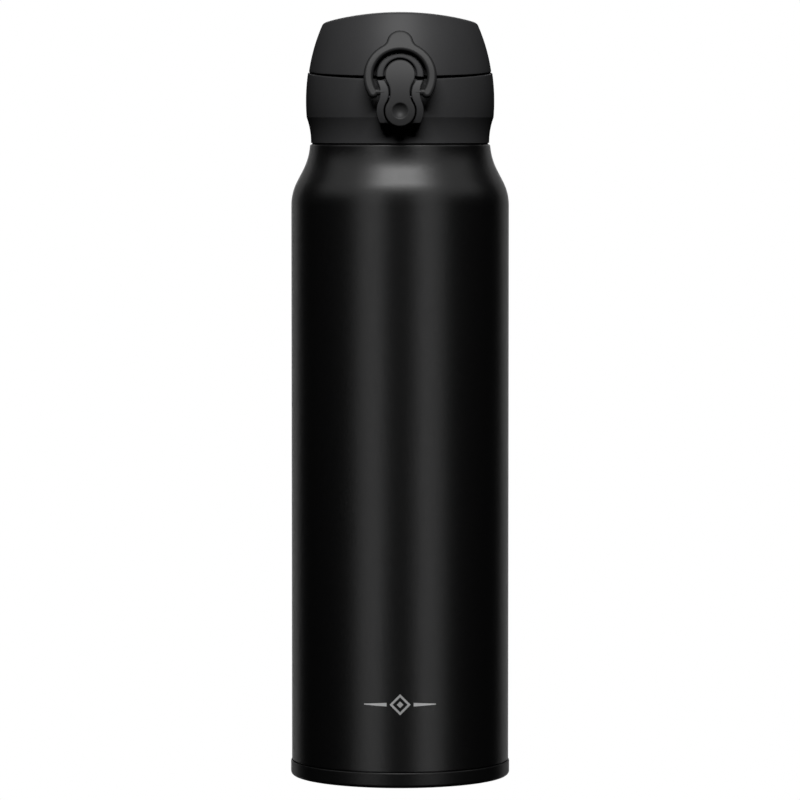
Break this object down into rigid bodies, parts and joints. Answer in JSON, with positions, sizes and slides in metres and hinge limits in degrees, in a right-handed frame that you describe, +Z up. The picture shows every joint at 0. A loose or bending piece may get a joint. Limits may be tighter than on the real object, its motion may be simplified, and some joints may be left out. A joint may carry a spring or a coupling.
{
  "type": "vacuum flask",
  "caption": "Slim double-walled steel vacuum flask with a screw-on drinking stopper, a spring-lever latched flip lid and a swinging lock ring.",
  "frame": {"origin": "centre of the base, on the surface the flask stands on", "axes": "+Z up along the bottle's axis, latch and lock ring towards -Y, lid hinge towards +Y, X to the sides"},
  "size_m": [0.0756, 0.076, 0.263],
  "materials": {
    "body_coat": "fine matt black powder coat on steel",
    "bare_steel": "electropolished stainless steel",
    "braze": "nickel braze bead",
    "getter_metal": "sintered metal pellet",
    "copper_foil": "thin copper foil",
    "base_plastic": "matt black plastic",
    "silicone": "translucent white silicone",
    "stopper_plastic": "fine matt black polypropylene",
    "plug_plastic": "satin dark grey polypropylene",
    "spout_plastic": "satin black polypropylene",
    "pin_steel": "drawn stainless wire",
    "lid_plastic": "fine matt black polypropylene",
    "liner_plastic": "satin black polypropylene",
    "lever_plastic": "fine matt black moulded plastic",
    "ring_plastic": "fine matt black moulded plastic"
  },
  "bodies": {
    "bottle": {"outer_shell": "body_coat", "inner_bottle": "bare_steel", "outer_bottom": "bare_steel", "vacuum_seal": "braze", "getter": "getter_metal", "radiation_foil": "copper_foil", "base_cap": "base_plastic"},
    "mouth_seal": {"stopper_gasket": "silicone"},
    "stopper": {"stopper_body": "stopper_plastic", "stopper_plug": "plug_plastic", "spout": "spout_plastic", "spout_gasket": "silicone", "hinge_pin": "pin_steel", "hinge_spring": "pin_steel", "latch_pin": "pin_steel", "latch_spring": "pin_steel"},
    "lid": {"lid_shell": "lid_plastic", "lid_liner": "liner_plastic", "lid_gasket": "silicone"},
    "lever": {"latch_lever": "lever_plastic"},
    "ring": {"lock_ring": "ring_plastic"}
  },
  "joints": [
    {"name": "stopper_rise", "type": "slide", "parent": "bottle", "child": "mouth_seal", "axis": [0, 0, 1], "range_m": [0, 0.00501]},
    {"name": "stopper_turn", "type": "hinge", "parent": "mouth_seal", "child": "stopper", "pos_m": [0, 0, 0.23], "axis": [0, 0, 1], "range_deg": [0, 450]},
    {"name": "lid_open", "type": "hinge", "parent": "stopper", "child": "lid", "pos_m": [0, 0.0354, 0.2335], "axis": [-1, 0, 0], "range_deg": [0, 120]},
    {"name": "latch_press", "type": "hinge", "parent": "stopper", "child": "lever", "pos_m": [0, -0.0359, 0.234], "axis": [1, 0, 0], "range_deg": [0, 8], "stiffness_Nm_per_rad": 0.05, "deforming": ["latch_spring"]},
    {"name": "ring_swing", "type": "hinge", "parent": "stopper", "child": "ring", "pos_m": [0, -0.0364, 0.2358], "axis": [1, 0, 0], "range_deg": [0, 150]}
  ],
  "couplings": [
    {"joint": "stopper_rise", "follows": "stopper_turn", "m_per_rad": 0.00063662}
  ]
}
